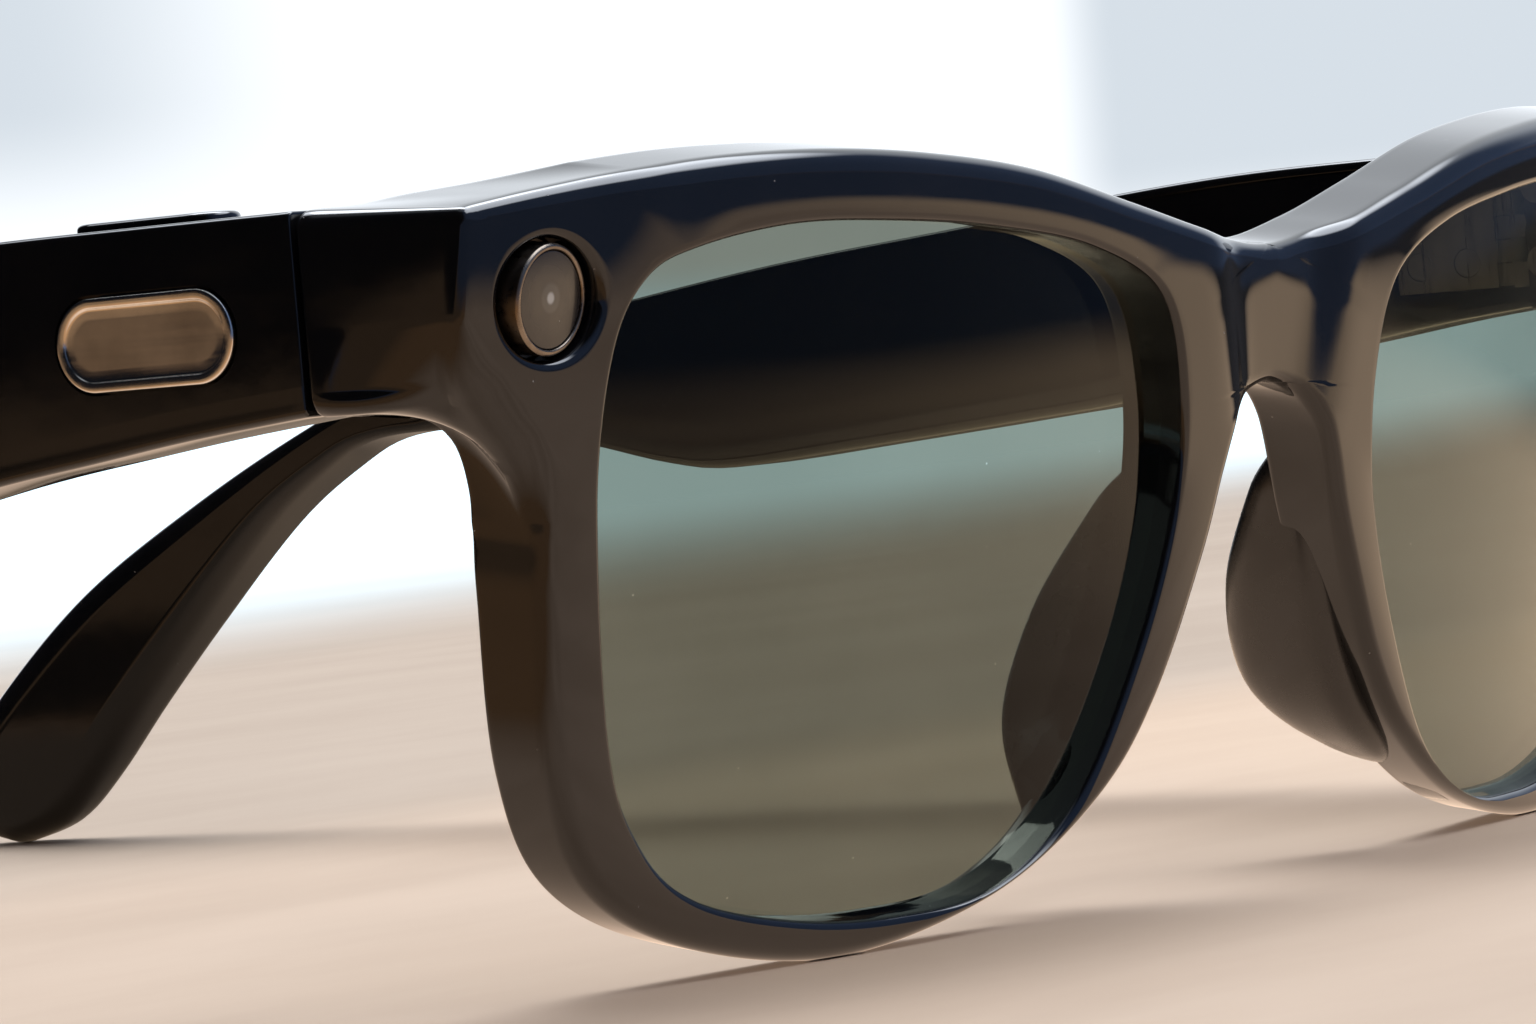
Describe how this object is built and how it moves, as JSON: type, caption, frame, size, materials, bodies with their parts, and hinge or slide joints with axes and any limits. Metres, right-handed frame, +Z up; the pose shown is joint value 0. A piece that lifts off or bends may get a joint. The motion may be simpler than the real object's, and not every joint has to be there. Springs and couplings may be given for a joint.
{
  "type": "smart glasses",
  "caption": "Gloss black smart glasses with tinted lenses, a camera and a capture light in the corners, hollow folding temples, a press button and a slide switch.",
  "frame": {"origin": "centre of the footprint on the surface the glasses stand on, temples open", "axes": "+X to the wearer's left, +Y back towards the ears, +Z up"},
  "size_m": [0.1468, 0.1694, 0.0475],
  "materials": {
    "frame_gloss": "polished gloss black moulding",
    "lens_tint": "green-grey tinted, hard coated",
    "pad_plastic": "satin black",
    "bezel_metal": "satin turned ring",
    "module_window": "smoked clear plastic",
    "light_diffuser": "milky white",
    "inner_plastic": "fine matte black",
    "hinge_steel": "satin stainless steel",
    "contact_gold": "gold plated",
    "flex_film": "amber film",
    "circuit_board": "green solder mask",
    "shield_metal": "tinned shield can",
    "battery_foil": "grey foil wrap",
    "badge_metal": "polished",
    "grille_metal": "black perforated"
  },
  "bodies": {
    "front": {"front_frame": "frame_gloss", "lens_right": "lens_tint", "lens_left": "lens_tint", "nose_pad_right": "pad_plastic", "nose_pad_left": "pad_plastic", "brow_cover": "frame_gloss", "brow_flex": "flex_film", "nose_microphone": "contact_gold", "charge_contact_carrier": "inner_plastic", "charge_contacts": "contact_gold", "capture_light_ring": "bezel_metal", "capture_light_window": "module_window", "capture_light_module": "light_diffuser", "camera_ring": "bezel_metal", "camera_window": "module_window", "camera_module": "inner_plastic", "hinge_front_leaf_right": "hinge_steel", "hinge_front_leaf_left": "hinge_steel", "hinge_pin_right": "hinge_steel", "hinge_pin_left": "hinge_steel", "hinge_front_screws": "hinge_steel"},
    "temple_right": {"temple_shell_right": "frame_gloss", "temple_cover_right": "frame_gloss", "touch_sensor_right": "flex_film", "main_board_right": "circuit_board", "processor_module_right": "shield_metal", "speaker_right": "inner_plastic", "speaker_grille_right": "grille_metal", "microphone_right": "contact_gold", "capture_switch": "hinge_steel", "badge_right": "badge_metal", "hinge_temple_leaf_right": "hinge_steel", "hinge_screws_right": "hinge_steel"},
    "temple_left": {"temple_shell_left": "frame_gloss", "temple_cover_left": "frame_gloss", "battery_left": "battery_foil", "battery_board_left": "circuit_board", "speaker_left": "inner_plastic", "speaker_grille_left": "grille_metal", "microphone_left": "contact_gold", "antenna_left": "flex_film", "power_switch_board": "circuit_board", "badge_left": "badge_metal", "hinge_temple_leaf_left": "hinge_steel", "hinge_screws_left": "hinge_steel"},
    "capture_button": {"capture_button": "frame_gloss"},
    "power_slider": {"power_slider": "inner_plastic"}
  },
  "joints": [
    {"name": "temple_right_fold", "type": "hinge", "parent": "front", "child": "temple_right", "pos_m": [-0.0652, -0.0632, 0.0396], "axis": [0, 0, -1], "range_deg": [0, 90]},
    {"name": "temple_left_fold", "type": "hinge", "parent": "front", "child": "temple_left", "pos_m": [0.0652, -0.0632, 0.0396], "axis": [0, 0, 1], "range_deg": [0, 77]},
    {"name": "capture_button_press", "type": "slide", "parent": "temple_right", "child": "capture_button", "axis": [0, 0, -1], "range_m": [0, 0.00035], "stiffness_N_per_m": 900, "springref_m": -0.0004},
    {"name": "power_switch_slide", "type": "slide", "parent": "temple_left", "child": "power_slider", "axis": [0, 1, 0], "range_m": [0, 0.002]}
  ]
}
